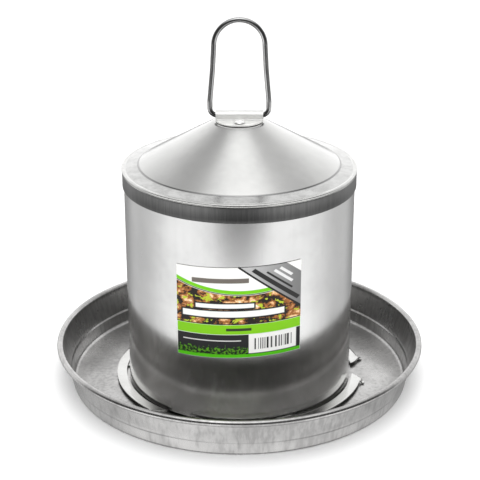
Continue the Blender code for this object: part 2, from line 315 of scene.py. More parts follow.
def drill_through(piece, radius, spots, low, high):
    """Cut an upright round hole at each (x, y) spot, between two heights."""
    drills = []
    for x, y in spots:
        section = np.array([(0.0, high), (radius, high), (radius, low), (0.0, low)])
        drill = turned("drill", section, around=32, centre=(x, y))
        cut = piece.modifiers.new("hole", "BOOLEAN")
        cut.operation = "DIFFERENCE"
        cut.object = drill
        drills.append(drill)
    apply_modifiers(piece, *drills)


def joined(piece, *others):
    """Add the meshes of other pieces to a piece and remove those pieces."""
    with bpy.context.temp_override(active_object=piece, selected_editable_objects=[piece, *others]):
        bpy.ops.object.join()


stop_turns = [math.radians(a) for a in stop_azimuths]
stop_spots = [(stop_r * math.cos(a), stop_r * math.sin(a)) for a in stop_turns]
drill_through(pan, dimple_r + 0.0002, stop_spots, -0.002, 0.002)
dimple_section = walled(dimple_line, sheet)
joined(pan, *[turned("dimple", dimple_section, around=32, centre=spot) for spot in stop_spots])
pan_finish = stainless(
    "pan stainless", (0.43, 0.425, 0.42), (0.34, 0.336, 0.332), 0.29, (420, 420, 40), 0.000006,
    smudge=0.08, scuffs=0.80)
finish_piece(pan, pan_finish, "pan", "pan_steel", "pan_tray")


# ---------------------------------------------------------------------------------------------
# Locking rails.  Three arc plates cut from bright sheet stand 1.5 mm clear of the pan's floor.
# Each has an ear at both ends that bends down to the floor, where it is spot welded.
# ---------------------------------------------------------------------------------------------

rail_inner_r = 0.0694
rail_outer_r = 0.0752
rail_top_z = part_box("lock_rail_1")[1].z
notch_centre = -1.25
notch_inner = 5.65
notch_outer = 10.6
ear_width = 2.4

rail_finish = stainless(
    "rail stainless", (0.54, 0.54, 0.53), (0.46, 0.46, 0.45), 0.14, (60, 60, 60), 0.000003,
    smudge=0.03)


def polar(r, degrees, z):
    """Points (r cos a, r sin a, z) from arrays of radius, azimuth in degrees and height."""
    a = np.radians(degrees)
    return np.stack(np.broadcast_arrays(r * np.cos(a), r * np.sin(a), z), axis=-1)


def rail_surface(notch):
    """The rail's upper side: a fan of radial rows, whose first and last columns run on as ears.

    Row k is at a radius between the inner and the outer edge, and spans the angle between the two
    notches at that radius.  An ear follows a bent line of (radius, height) points.
    """
    columns = 61
    across = np.linspace(0, 1, 5)[:, None]
    half_notch = notch_inner + (notch_outer - notch_inner) * across ** 1.5
    share = np.concatenate([[0], np.linspace(0, 1, columns - 2), [1]])
    start, end = notch + half_notch, notch + 120 - half_notch
    angles = start + ear_width + (end - start - 2 * ear_width) * share[None, :]
    angles[:, 0] = start[:, 0]
    angles[:, -1] = end[:, 0]
    top = polar(rail_inner_r + (rail_outer_r - rail_inner_r) * across, angles, rail_top_z)
    vertices = top.reshape(-1, 3)
    faces = grid_faces(5, columns).tolist()
    bend = rounded(
        [(rail_outer_r, rail_top_z), (rail_outer_r + 0.0006, rail_top_z),
         (rail_outer_r + 0.0014, 0.0016), (rail_outer_r + 0.0026, 0.0015)],
        [0.0004, 0.0004], spacing=0.0008, steps=5)[1:]
    last_row = 4 * columns
    for low, high, near, far in (
            (start[-1, 0], start[-1, 0] + ear_width, last_row, last_row + 1),
            (end[-1, 0] - ear_width, end[-1, 0], last_row + columns - 2, last_row + columns - 1)):
        low_side = polar(bend[:, 0], low, bend[:, 1])
        high_side = polar(bend[:, 0], high, bend[:, 1])
        first = len(vertices)
        count = len(bend)
        vertices = np.vstack([vertices, low_side, high_side])
        lows = [near, *range(first, first + count)]
        highs = [far, *range(first + count, first + 2 * count)]
        faces += [[lows[k], lows[k + 1], highs[k + 1], highs[k]] for k in range(count)]
    return vertices, faces


for number in range(3):
    node = f"lock_rail_{number + 1}"
    rail = put(f"rail_{number + 1}", *rail_surface(notch_centre + 120 * number))
    thick = rail.modifiers.new("sheet", "SOLIDIFY")
    thick.thickness = sheet
    thick.offset = -1.0
    thick.use_even_offset = True
    edge = rail.modifiers.new("deburred edge", "BEVEL")
    edge.width = 0.00016
    edge.segments = 3
    edge.limit_method = "ANGLE"
    edge.angle_limit = math.radians(40)
    finish_piece(rail, rail_finish, "pan", "rail_steel", node)


# ---------------------------------------------------------------------------------------------
# Tank.  Bright sheet rolled to a cylinder and butt welded up the back.  One hole near its foot
# lets the water out until the level in the pan covers it.
# ---------------------------------------------------------------------------------------------

tank_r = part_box("tank_wall")[1].x
tank_foot_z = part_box("tank_wall")[0].z
tank_top_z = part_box("tank_wall")[1].z
seam_azimuth = math.radians(118)

tank_line = rounded(
    [(tank_r, tank_top_z - sheet / 2), (tank_r, tank_foot_z + sheet / 2)], [], spacing=0.0016)


def rolled_wall(r, a, z):
    """Rolling leaves shallow flats; the weld stands proud as a narrow bell-shaped bead."""
    ripple = np.sin(3 * a + 0.4) + 0.5 * np.sin(7 * a + 1.3) * np.cos(z * 40)
    ripple = ripple + 0.35 * np.sin(13 * a + z * 25)
    off_seam = (a - seam_azimuth) * tank_r
    bead = 0.00010 * np.exp(-(off_seam / 0.0007) ** 2) * (1 + 0.25 * np.sin(z * 9000))
    return r + 0.000020 * (ripple - 1.85) + bead, z


tank = turned("tank", walled(tank_line, sheet), around=432, shape=rolled_wall)
outlet_r = 0.0045
outlet_z = 0.010
drill_reach = 0.005
drill = turned("outlet_drill", np.array([
    (0.0, drill_reach), (outlet_r, drill_reach), (outlet_r, -drill_reach), (0.0, -drill_reach)]), around=64)
spin = np.array([[1, 0, 0], [0, 0, -1], [0, 1, 0]], float)
points = np.zeros(3 * len(drill.data.vertices))
drill.data.vertices.foreach_get("co", points)
points = points.reshape(-1, 3) @ spin.T + (0, tank_r, outlet_z)
drill.data.vertices.foreach_set("co", points.ravel())
cut = tank.modifiers.new("outlet", "BOOLEAN")
cut.operation = "DIFFERENCE"
cut.object = drill
apply_modifiers(tank, drill)

tank_finish = stainless(
    "tank stainless", (0.49, 0.49, 0.487), (0.45, 0.45, 0.447), 0.25, (300, 300, 6), 0.0000004,
    film=0.3)
tree = tank_finish.node_tree
shader = tree.nodes["Principled BSDF"]
# Painted light: the tank's colour is lighter towards its foot, which is also a little smoother than the
# rest.
spot = node_of(tree, "ShaderNodeTexCoord").outputs["Object"]
level = node_of(tree, "ShaderNodeSeparateXYZ", Vector=spot).outputs["Z"]
plain = shader.inputs["Base Color"].links[0].from_socket
foot_painted_light = mixed(tree, ramp(tree, level, 0.058, 0.030), plain, (0.76, 0.755, 0.74))
tree.links.new(foot_painted_light, shader.inputs["Base Color"])
rough = shader.inputs["Roughness"].links[0].from_socket
smoother = maths(tree, "MULTIPLY_ADD", ramp(tree, level, 0.075, 0.045), -0.05, rough)
tree.links.new(smoother, shader.inputs["Roughness"])
finish_piece(tank, tank_finish, "fount", "tank_steel", "tank_wall")


# ---------------------------------------------------------------------------------------------
# Lock lugs.  Three strips, bent to an L and welded inside the tank's foot, whose toes slide under
# the rails when the tank is turned.
# ---------------------------------------------------------------------------------------------

lug_leg_r = 0.0665
lug_tip_r = 0.0730
lug_toe_z = 0.0015
lug_rest = 53.0
lug_width = 7.6

lug_finish = stainless(
    "lug stainless", (0.45, 0.45, 0.44), (0.40, 0.40, 0.39), 0.28, (200, 200, 40), 0.000006)
lug_line = rounded(
    [(lug_leg_r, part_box("lock_lug_1")[1].z), (lug_leg_r, lug_toe_z), (lug_tip_r, lug_toe_z)],
    [0.0006], spacing=0.0008)
lug_section = walled(lug_line, sheet)


def bar_along_arc(name, section, start, end, columns):
    """A closed (r, z) section carried round Z from start to end degrees, with its ends capped."""
    angles = np.linspace(start, end, columns)
    rows = polar(section[:, 0, None], angles[None, :], section[:, 1, None])
    count = len(section)
    vertices = rows.reshape(-1, 3)
    faces = grid_faces(count, columns, wrap_rows=True).tolist()
    half = count // 2
    for column, flip in ((0, False), (columns - 1, True)):
        for k in range(half - 1):
            quad = [k, (count - 1 - k), (count - 2 - k), k + 1]
            quad = [q * columns + column for q in quad]
            faces.append(quad[::-1] if flip else quad)
    return put(name, vertices, faces)


for number in range(3):
    centre = lug_rest + 120 * number
    lug = bar_along_arc(f"lug_{number + 1}", lug_section, centre - lug_width / 2, centre + lug_width / 2, 13)
    finish_piece(lug, lug_finish, "fount", "lug_steel", f"lock_lug_{number + 1}")


# ---------------------------------------------------------------------------------------------
# Cap.  One spun sheet: a small flat, a cone, a gently sloping brim with a beaded edge, and a
# skirt pressed down over the tank on a bed of grey sealing compound.
# ---------------------------------------------------------------------------------------------

cap_top_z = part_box("cap_cone")[1].z
brim_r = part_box("cap_cone")[1].x
skirt_r = brim_r - 0.0003
skirt_foot_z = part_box("cap_cone")[0].z
crease_r = 0.0591
crease_z = 0.1363
brim_edge_z = 0.1347

cap_line = rounded(
    [(0.0, cap_top_z), (0.0150, cap_top_z), (crease_r - 0.0005, crease_z + 0.0002),
     (crease_r - 0.0002, crease_z - 0.0002), (brim_r - 0.0024, brim_edge_z),
     (brim_r - 0.0021, brim_edge_z - 0.00015), (brim_r - 0.0010, brim_edge_z),
     (brim_r, brim_edge_z - 0.0003), (brim_r, brim_edge_z - 0.0011),
     (skirt_r - 0.0001, brim_edge_z - 0.0017), (skirt_r, brim_edge_z - 0.0023),
     (skirt_r, skirt_foot_z)],
    [0.0040, 0.0005, 0.0002, 0.0002, 0.0003, 0.0007, 0.0004, 0.0003, 0.0003, 0.0003], steps=7)


def spun_cap(r, a, z):
    """Spinning leaves faint rings; the crimped skirt is a few hundredths out of round."""
    skirt = np.clip((0.1318 - z) / 0.002, 0, 1)
    pleats = np.sin(37 * a) + 0.7 * np.sin(61 * a + 1.1) + 0.5 * np.sin(83 * a + 2.0)
    rings = np.sin(r * 2600) * np.clip((0.058 - r) / 0.01, 0, 1) * np.clip(r / 0.02, 0, 1)
    return r + 0.000008 * skirt * (pleats - 2.2), z + 0.000002 * rings


cap = turned("cap", walled(cap_line, sheet), around=360, shape=spun_cap)
rivet_y = 0.0085
rivet_hole_r = 0.0019
rivet_spots = [(0.0, -rivet_y), (0.0, rivet_y)]
drill_through(cap, rivet_hole_r, rivet_spots, cap_top_z - 0.002, cap_top_z + 0.002)
cap_finish = stainless(
    "cap stainless", (0.46, 0.46, 0.452), (0.41, 0.41, 0.404), 0.20, (90, 90, 90), 0.000003, film=0.15)


def darken_skirt(material):
    """The skirt is dull and dark in upright streaks, with painted shade making it darker towards its foot.
    """
    tree = material.node_tree
    shader = tree.nodes["Principled BSDF"]
    place = node_of(tree, "ShaderNodeTexCoord").outputs["Object"]
    height = node_of(tree, "ShaderNodeSeparateXYZ", Vector=place).outputs["Z"]
    skirt = ramp(tree, height, brim_edge_z - 0.0024, brim_edge_z - 0.0018, 1.0, 0.0)
    streaks = noise(tree, place, 1.0, stretch=(700, 700, 40), detail=4.0, rough=0.7)
    # Painted shade: a lighter copy of the streaked colour under the brim fades to a darker copy at the
    # skirt's foot.
    light = mixed(tree, ramp(tree, streaks, 0.3, 0.75), (0.10, 0.10, 0.10), (0.14, 0.14, 0.138))
    dark = mixed(tree, ramp(tree, streaks, 0.3, 0.75), (0.05, 0.05, 0.05), (0.075, 0.075, 0.074))
    streaks_with_painted_shade = mixed(tree, ramp(tree, height, brim_edge_z - 0.0024, skirt_foot_z + 0.001), light, dark)
    plain = shader.inputs["Base Color"].links[0].from_socket
    tree.links.new(mixed(tree, skirt, plain, streaks_with_painted_shade), shader.inputs["Base Color"])
    rough = shader.inputs["Roughness"].links[0].from_socket
    tree.links.new(maths(tree, "MULTIPLY_ADD", skirt, 0.14, rough), shader.inputs["Roughness"])


def mark_brim(material):
    """The brim is blotted grey and lighter on its bead, with a dark line of painted shade where the cone
    starts.
    """
    tree = material.node_tree
    shader = tree.nodes["Principled BSDF"]
    place = node_of(tree, "ShaderNodeTexCoord").outputs["Object"]
    split = node_of(tree, "ShaderNodeSeparateXYZ", Vector=place)
    x_squared = maths(tree, "POWER", split.outputs["X"], 2.0)
    y_squared = maths(tree, "POWER", split.outputs["Y"], 2.0)
    radius = maths(tree, "SQRT", maths(tree, "ADD", x_squared, y_squared))
    brim = ramp(tree, radius, crease_r - 0.0006, crease_r + 0.0004)
    blots = noise(tree, place, 120.0, detail=6.0, rough=0.7)
    grey = mixed(tree, ramp(tree, blots, 0.35, 0.65), (0.44, 0.44, 0.435), (0.33, 0.33, 0.325))
    edge = ramp(tree, radius, brim_r - 0.0028, brim_r - 0.0022)
    grey = mixed(tree, maths(tree, "MULTIPLY", edge, ramp(tree, blots, 0.3, 0.6)), grey, (0.50, 0.50, 0.49))
    # Painted shade: a dark line along the crease where the cone starts.
    line = maths(tree, "MULTIPLY", ramp(tree, radius, crease_r - 0.0010, crease_r - 0.0004),
                 ramp(tree, radius, crease_r + 0.0006, crease_r))
    plain = shader.inputs["Base Color"].links[0].from_socket
    marked = mixed(tree, brim, plain, grey)
    marked = mixed(tree, maths(tree, "MULTIPLY", line, 0.8), marked, (0.14, 0.14, 0.14))
    tree.links.new(marked, shader.inputs["Base Color"])


mark_brim(cap_finish)
darken_skirt(cap_finish)
finish_piece(cap, cap_finish, "fount", "cap_steel", "cap_cone")

seal_low, seal_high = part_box("cap_seal")
seal_line = rounded(
    [(seal_high.x, seal_high.z), (seal_high.x, seal_low.z)], [], spacing=0.0002)
seal = turned("seal", walled(seal_line, 0.0009, steps=5), around=180)
seal_finish = bpy.data.materials.new("grey sealing compound")
seal_finish.use_nodes = True
seal_shader = seal_finish.node_tree.nodes["Principled BSDF"]
seal_shader.inputs["Roughness"].default_value = 0.6
seal_place = node_of(seal_finish.node_tree, "ShaderNodeTexCoord").outputs["Object"]
seal_mottle = noise(seal_finish.node_tree, seal_place, 400.0)
seal_finish.node_tree.links.new(
    mixed(seal_finish.node_tree, seal_mottle, (0.26, 0.26, 0.25), (0.34, 0.34, 0.33)),
    seal_shader.inputs["Base Color"])
finish_piece(seal, seal_finish, "fount", "seal_compound", "cap_seal")


# ---------------------------------------------------------------------------------------------
# Hanger saddle.  A round blank of 0.8 mm sheet with an arch pressed across it for the wire, held
# on the cap's flat top by two rivets, each with a rubber washer inside to keep the tank airtight.
# ---------------------------------------------------------------------------------------------

saddle_low, saddle_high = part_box("hanger_saddle")
saddle_sheet = 0.0008
saddle_r = saddle_high.x
saddle_top_z = saddle_low.z + saddle_sheet
barrel_r = 0.0027
barrel_z = saddle_high.z - barrel_r


def saddle_mesh():
    """A section in Y and Z, flange, arch, flange, carried along X between the edges of a circle.

    Its upper side is P(s, t) = (t sqrt(R^2 - y(s)^2), y(s), z(s)) with t from -1 to 1, and its
    under side is the same with the section moved in by the sheet's thickness.
    """
    flange = rounded(
        [(saddle_r, saddle_top_z), (barrel_r, saddle_top_z), (barrel_r, barrel_z)], [0.0009],
        spacing=0.0006)
    right = np.vstack([flange, arc_points((0, barrel_z), barrel_r, 0, 90, 16)[1:]])
    line = np.vstack([right, right[-2::-1] * (-1, 1)])
    tangent = np.gradient(line, axis=0)
    tangent /= np.linalg.norm(tangent, axis=1)[:, None]
    under = line + np.column_stack([-tangent[:, 1], tangent[:, 0]]) * saddle_sheet
    t = np.linspace(-1, 1, 41)
    sides = []
    for side in (line, under):
        width = np.sqrt(np.maximum(saddle_r ** 2 - side[:, :1] ** 2, 0))
        x = t[None, :] * width
        sides.append(np.stack(np.broadcast_arrays(x, side[:, :1], side[:, 1:]), axis=-1))
    rows, columns = sides[0].shape[:2]
    vertices = np.vstack([side.reshape(-1, 3) for side in sides])
    above = grid_faces(rows, columns)
    below = above[:, ::-1] + rows * columns
    faces = above.tolist() + below.tolist()
    rim = list(range(0, rows * columns, columns))
    far_rim = [k + columns - 1 for k in rim]
    shift = rows * columns
    for k, following in zip(rim, rim[1:]):
        faces.append([k, k + shift, following + shift, following])
    for k, following in zip(far_rim, far_rim[1:]):
        faces.append([k, following, following + shift, k + shift])
    return vertices, faces


saddle = put("saddle", *saddle_mesh(), sharp=50)
saddle_weld = saddle.modifiers.new("close the tips", "WELD")
saddle_weld.merge_threshold = 0.00001
apply_modifiers(saddle)
drill_through(saddle, rivet_hole_r, rivet_spots, saddle_low.z - 0.001, saddle_top_z + 0.001)
saddle_finish = stainless(
    "saddle stainless", (0.86, 0.86, 0.84), (0.74, 0.74, 0.72), 0.30, (300, 40, 40), 0.000003,
    smudge=0.04, metal=0.35)
tree = saddle_finish.node_tree
shader = tree.nodes["Principled BSDF"]
spot = node_of(tree, "ShaderNodeTexCoord").outputs["Object"]
split = node_of(tree, "ShaderNodeSeparateXYZ", Vector=spot)
# Painted shade: dark lines along the arch's top edge and along both its feet.
painted_top_line = maths(tree, "MULTIPLY", ramp(tree, split.outputs["Y"], -0.0012, -0.0006),
                ramp(tree, split.outputs["Z"], saddle_high.z - 0.0009, saddle_high.z - 0.0005))
off_middle = maths(tree, "ABSOLUTE", split.outputs["Y"])
painted_foot_shade = maths(tree, "MULTIPLY", ramp(tree, off_middle, 0.0044, 0.0036),
                 ramp(tree, split.outputs["Z"], saddle_top_z + 0.0007, saddle_top_z + 0.0003))
painted_arch_shade = maths(tree, "MAXIMUM", maths(tree, "MULTIPLY", painted_top_line, 0.85),
            maths(tree, "MULTIPLY", painted_foot_shade, 0.5))
plain = shader.inputs["Base Color"].links[0].from_socket
tree.links.new(mixed(tree, painted_arch_shade, plain, (0.20, 0.20, 0.20)), shader.inputs["Base Color"])
finish_piece(saddle, saddle_finish, "fount", "saddle_steel", "hanger_saddle")

rivet_finish = stainless(
    "rivet stainless", (0.80, 0.80, 0.79), (0.70, 0.70, 0.69), 0.24, (500, 500, 500), 0.000006,
    metal=0.7)
rubber = bpy.data.materials.new("black rubber")
rubber.use_nodes = True
rubber_shader = rubber.node_tree.nodes["Principled BSDF"]
rubber_shader.inputs["Roughness"].default_value = 0.62
rubber_place = node_of(rubber.node_tree, "ShaderNodeTexCoord").outputs["Object"]
rubber.node_tree.links.new(
    mixed(rubber.node_tree, noise(rubber.node_tree, rubber_place, 900.0), (0.03, 0.03, 0.03),
          (0.06, 0.06, 0.06)), rubber_shader.inputs["Base Color"])

for place, side in (("front", -1), ("back", 1)):
    low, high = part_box(f"saddle_rivet_{place}")
    head_r = high.x
    head_foot = high.z - 0.0012
    tail_top = low.z + 0.0010
    rivet_line = np.vstack([
        arc_points((0, 0), 1.0, 90, 0, 14) * (head_r, 0.0012) + (0, head_foot),
        rounded([(head_r, head_foot), (0.0016, head_foot), (0.0016, tail_top), (0.0027, tail_top),
                 (0.0027, low.z), (0.0, low.z)],
                [0.0001, 0.0001, 0.0003, 0.0003], spacing=0.0005, steps=4)[1:]])
    rivet_line[0, 0] = 0.0
    rivet = turned(f"rivet_{place}", rivet_line, around=48, centre=(0, side * rivet_y))
    finish_piece(rivet, rivet_finish, "fount", "rivet_steel", f"saddle_rivet_{place}")

    low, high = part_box(f"rivet_washer_{place}")
    washer_section = rounded(
        [(0.0032, high.z), (high.x, high.z), (high.x, low.z), (0.0019, low.z), (0.0019, high.z),
         (0.0032, high.z)], [0.0002] * 4, spacing=0.0005, steps=4)[:-1]
    washer = turned(f"washer_{place}", washer_section, around=48, centre=(0, side * rivet_y))
    finish_piece(washer, rubber, "fount", "washer_rubber", f"rivet_washer_{place}")


# ---------------------------------------------------------------------------------------------
# Bail.  3 mm bright drawn wire, bent to a long loop that is widest at its hips; its two ends meet
# inside the saddle's arch, which is also its hinge.
# ---------------------------------------------------------------------------------------------

wire_r = 0.0015
bail_top_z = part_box("bail_wire")[1].z - wire_r
arch_r = 0.0145
hip_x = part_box("bail_wire")[1].x - wire_r
hip_z = 0.1720
corner_r = 0.0043


def bail_route():
    """One half of the loop as rounded legs and a quarter arch, then its mirror image."""
    leg = rounded(
        [(0.0005, barrel_z), (hip_x, barrel_z), (hip_x, hip_z + 0.0012), (0.0153, 0.1910),
         (arch_r, bail_top_z - arch_r)],
        [corner_r, 0.020, 0.060], spacing=0.0012, steps=14)
    arch = arc_points((0, bail_top_z - arch_r), arch_r, 0, 90, 30)[1:]
    half = np.vstack([leg, arch])
    return np.vstack([half, half[-2::-1] * (-1, 1)])


def wire_mesh(route, radius, sides=24):
    """A circle carried along a route in the XZ plane, its ends closed by quarter-round caps.

    P(s, b) = route(s) + radius * (cos b * n(s) + sin b * Y), where n is the route's normal.
    """
    tangent = np.gradient(route, axis=0)
    tangent /= np.linalg.norm(tangent, axis=1)[:, None]
    normal = np.column_stack([tangent[:, 1], -tangent[:, 0]])
    b = np.linspace(0, 2 * math.pi, sides, endpoint=False)
    cap = np.radians([90, 60, 30])
    shrink = np.concatenate([np.cos(cap), np.ones(len(route)), np.cos(cap[::-1])])
    step = np.concatenate([1 - np.sin(cap), np.zeros(len(route)), np.sin(cap[::-1]) - 1]) * -0.0002
    where = np.concatenate([[0] * 3, np.arange(len(route)), [len(route) - 1] * 3])
    shrink = np.maximum(shrink, 0.02) ** 0.3
    centre = route[where] - tangent[where] * step[:, None]
    n = normal[where]
    rad = radius * shrink
    x = centre[:, :1] + rad[:, None] * np.cos(b) * n[:, :1]
    y = rad[:, None] * np.sin(b)
    z = centre[:, 1:] + rad[:, None] * np.cos(b) * n[:, 1:]
    vertices = np.stack([x, y, z], axis=-1).reshape(-1, 3)
    rows = len(where)
    faces = grid_faces(rows, sides, wrap_columns=True)[:, ::-1].tolist()
    faces.append(list(range(sides))[::-1])
    faces.append(list(range((rows - 1) * sides, rows * sides)))
    return vertices, faces


bail = put("bail", *wire_mesh(bail_route(), wire_r))
bail_finish = stainless(
    "drawn wire", (0.34, 0.34, 0.34), (0.24, 0.24, 0.24), 0.20, (250, 250, 250), 0.000003)
finish_piece(bail, bail_finish, "bail", "wire_steel", "bail_wire")


# ---------------------------------------------------------------------------------------------
# Label.  Printed film stuck round the tank's front, a little askew.  Its print is plain: bands,
# bars and a mottled picture stand in for words and pictures.
# ---------------------------------------------------------------------------------------------

label_r = tank_r + 0.0005
label_centre = -90.3
label_half = 30.6
label_foot_z = 0.0430
label_height = 0.0548
label_tilt = math.radians(2.3)


def label_mesh(columns=97, rows=49):
    """Two skins of P(u, v) = (R cos a, R sin a, z), with a linear in u and z linear in v plus the
    tilt; the outer skin's edges fall to the inner's."""
    u = np.linspace(0, 1, columns)
    v = np.linspace(0, 1, rows)
    u, v = np.meshgrid(u, v, indexing="xy")
    offset = label_half * (2 * u - 1)
    lift = math.tan(label_tilt) * label_r * np.radians(offset)
    z = label_foot_z + label_height * v + lift
    azimuth = label_centre + offset
    skins = [polar(radius, azimuth, z).reshape(-1, 3) for radius in (label_r, label_r - 0.0002)]
    count = rows * columns
    outer = grid_faces(rows, columns)[:, ::-1]
    faces = outer.tolist() + (outer[:, ::-1] + count).tolist()
    grid = np.arange(count).reshape(rows, columns)
    loop = np.concatenate([grid[0, :-1], grid[:-1, -1], grid[-1, :0:-1], grid[:0:-1, 0]])
    after = np.roll(loop, -1)
    faces += np.column_stack([after, loop, loop + count, after + count]).tolist()
    uv = np.column_stack([u.ravel(), v.ravel()])
    return np.vstack(skins), faces, np.vstack([uv, uv])


label = put("printed_label", *label_mesh(), sharp=30)
label_finish = bpy.data.materials.new("printed film")
label_finish.use_nodes = True
tree = label_finish.node_tree
shader = tree.nodes["Principled BSDF"]
shader.inputs["Roughness"].default_value = 0.38
shader.inputs["Specular IOR Level"].default_value = 0.25
spot = node_of(tree, "ShaderNodeTexCoord").outputs["UV"]
split = node_of(tree, "ShaderNodeSeparateXYZ", Vector=spot)
across, up = split.outputs["X"], split.outputs["Y"]


def between(value, low, high, blur=0.004):
    """1 where a value is between two limits, which may be sockets, and 0 outside them."""
    rise = maths(tree, "DIVIDE", maths(tree, "SUBTRACT", value, low), blur, clamp=True)
    fall = maths(tree, "DIVIDE", maths(tree, "SUBTRACT", high, value), blur, clamp=True)
    return maths(tree, "MULTIPLY", rise, fall)


def block(left, right, foot, top):
    """A rectangle of the label as a mask."""
    return maths(tree, "MULTIPLY", between(across, left, right), between(up, foot, top))


def print_over(base, mask, ink):
    """The base colour with an ink over it where the mask is 1."""
    return mixed(tree, mask, base, ink)


# Green arc under the header: its height follows a parabola in u.
sag = maths(tree, "POWER", maths(tree, "ABSOLUTE", maths(tree, "SUBTRACT", across, 0.55)), 2.0)
arc_v = maths(tree, "MULTIPLY_ADD", sag, 0.46, 0.695)

blotch = noise(tree, spot, 9.0, detail=5.0, rough=0.65)
leaf = noise(tree, spot, 14.0, detail=4.0, rough=0.6, place=(4.2, 1.3, 0))
picture = mixed(tree, ramp(tree, blotch, 0.45, 0.53), (0.012, 0.008, 0.005), (0.40, 0.14, 0.03))
picture = mixed(tree, ramp(tree, blotch, 0.53, 0.61), picture, (0.95, 0.60, 0.30))
picture = mixed(tree, ramp(tree, blotch, 0.61, 0.67), picture, (0.95, 0.90, 0.78))
picture = mixed(tree, ramp(tree, leaf, 0.56, 0.60), picture, (0.50, 0.60, 0.03))
ink = print_over((0.93, 0.93, 0.90), between(up, 0.37, arc_v), picture)
ink = print_over(ink, between(up, arc_v, maths(tree, "ADD", arc_v, 0.014)), (0.012, 0.015, 0.008))
ink = print_over(ink, between(up, maths(tree, "ADD", arc_v, 0.012), maths(tree, "ADD", arc_v, 0.055)),
                 (0.17, 0.60, 0.003))
# Generic bars in place of words
for left, right, foot, top in ((0.16, 0.62, 0.555, 0.605), (0.05, 0.86, 0.455, 0.525)):
    ink = print_over(ink, block(left - 0.012, right + 0.012, foot - 0.016, top + 0.016), (0.01, 0.01, 0.01))
    ink = print_over(ink, block(left, right, foot, top), (0.93, 0.93, 0.90))
ink = print_over(ink, block(0.13, 0.58, 0.830, 0.885), (0.16, 0.14, 0.12))
ink = print_over(ink, block(0.0, 1.0, 0.372, 0.386), (0.012, 0.015, 0.008))
ink = print_over(ink, block(0.0, 1.0, 0.262, 0.372), (0.22, 0.60, 0.003))
ink = print_over(ink, block(0.40, 0.60, 0.300, 0.335), (0.03, 0.05, 0.01))
ink = print_over(ink, block(0.0, 1.0, 0.0, 0.262), (0.014, 0.014, 0.016))
grass_edge = maths(
    tree, "MULTIPLY_ADD", noise(tree, spot, 30.0, stretch=(3, 0.4, 1), detail=2.0), 0.16, 0.03)
grass = mixed(tree, ramp(tree, noise(tree, spot, 45.0, detail=3.0), 0.45, 0.62),
              (0.008, 0.016, 0.006), (0.10, 0.34, 0.01))
grass_mask = maths(tree, "MULTIPLY", between(up, 0.0, grass_edge), block(0.0, 0.575, 0.0, 0.26))
ink = print_over(ink, grass_mask, grass)
ink = print_over(ink, block(0.05, 0.52, 0.185, 0.200), (0.75, 0.75, 0.74))
ink = print_over(ink, block(0.575, 0.965, 0.045, 0.262), (0.88, 0.88, 0.86))
bars = node_of(tree, "ShaderNodeTexNoise", Vector=node_of(
    tree, "ShaderNodeMapping", Vector=spot, Scale=(1, 0, 0)).outputs["Vector"], Scale=60.0, Detail=1.0)
bar_mask = maths(tree, "MULTIPLY", ramp(tree, bars.outputs["Fac"], 0.49, 0.52),
                 block(0.615, 0.925, 0.085, 0.215))
ink = print_over(ink, bar_mask, (0.03, 0.03, 0.03))
ink = print_over(ink, block(0.0, 1.0, 0.0, 0.040), (0.08, 0.50, 0.003))
# Diagonal banner over the top right corner
slant = maths(tree, "ADD", across, maths(tree, "MULTIPLY", up, 0.98))
grey = mixed(tree, ramp(tree, across, 0.5, 1.0), (0.50, 0.50, 0.50), (0.20, 0.20, 0.20))
ink = print_over(ink, between(slant, 1.47, 1.50), (0.012, 0.012, 0.012))
ink = print_over(ink, between(slant, 1.495, 1.86), grey)
along = maths(tree, "SUBTRACT", across, maths(tree, "MULTIPLY", up, 0.98))
for low, high, start, end, shade in (
        (1.53, 1.59, -0.34, 0.40, 0.02), (1.615, 1.645, -0.20, 0.22, 0.02),
        (1.68, 1.72, -0.15, 0.15, 0.8), (1.745, 1.785, -0.12, 0.08, 0.8)):
    bar = maths(tree, "MULTIPLY", between(slant, low, high), between(along, start, end))
    ink = print_over(ink, bar, (shade, shade, shade))
ink = print_over(ink, between(slant, 1.86, 2.5), (0.93, 0.93, 0.90))
tree.links.new(ink, shader.inputs["Base Color"])
finish_piece(label, label_finish, "fount", "label_print", "label")


# ---------------------------------------------------------------------------------------------
# Stage.  A white table that ends in front of the drinker, a white surround, and the dark end of
# the room behind the camera, which the steel's upright walls mirror.
# ---------------------------------------------------------------------------------------------

table_front_y = -1.5
table_far = 6.0
table = put("table", [(-table_far, table_front_y, 0), (table_far, table_front_y, 0),
                      (table_far, table_far, 0), (-table_far, table_far, 0)], [[0, 1, 2, 3]])
white = bpy.data.materials.new("white table")
white.use_nodes = True
white_shader = white.node_tree.nodes["Principled BSDF"]
white_shader.inputs["Base Color"].default_value = (0.95, 0.95, 0.95, 1)
white_shader.inputs["Roughness"].default_value = 0.9
white_shader.inputs["Specular IOR Level"].default_value = 0.0
table.data.materials.append(white)
table.visible_glossy = False

# A dark thing of soft outline in front, low down: it shades the tank's mirror image under the cap.
flag = put("flag", [(-0.3, -0.38, -0.15), (0.3, -0.38, -0.15), (0.3, -0.38, 0.25), (-0.3, -0.38, 0.25)],
           [[0, 1, 2, 3]])
soft_black = bpy.data.materials.new("soft black")
soft_black.use_nodes = True
veil = soft_black.node_tree
from_centre = node_of(
    veil, "ShaderNodeMapping", Vector=node_of(veil, "ShaderNodeTexCoord").outputs["Object"],
    Location=(0, 0, -0.66), Scale=(4.2, 0, 8.8))
distance = node_of(veil, "ShaderNodeVectorMath", Vector=from_centre.outputs["Vector"])
distance.operation = "LENGTH"
cover = ramp(veil, distance.outputs["Value"], 0.55, 1.25, 0.85, 0.0)
blend = node_of(veil, "ShaderNodeMixShader", Fac=cover)
clear = node_of(veil, "ShaderNodeBsdfTransparent")
black = node_of(veil, "ShaderNodeBsdfDiffuse", Color=(0.02, 0.02, 0.02, 1))
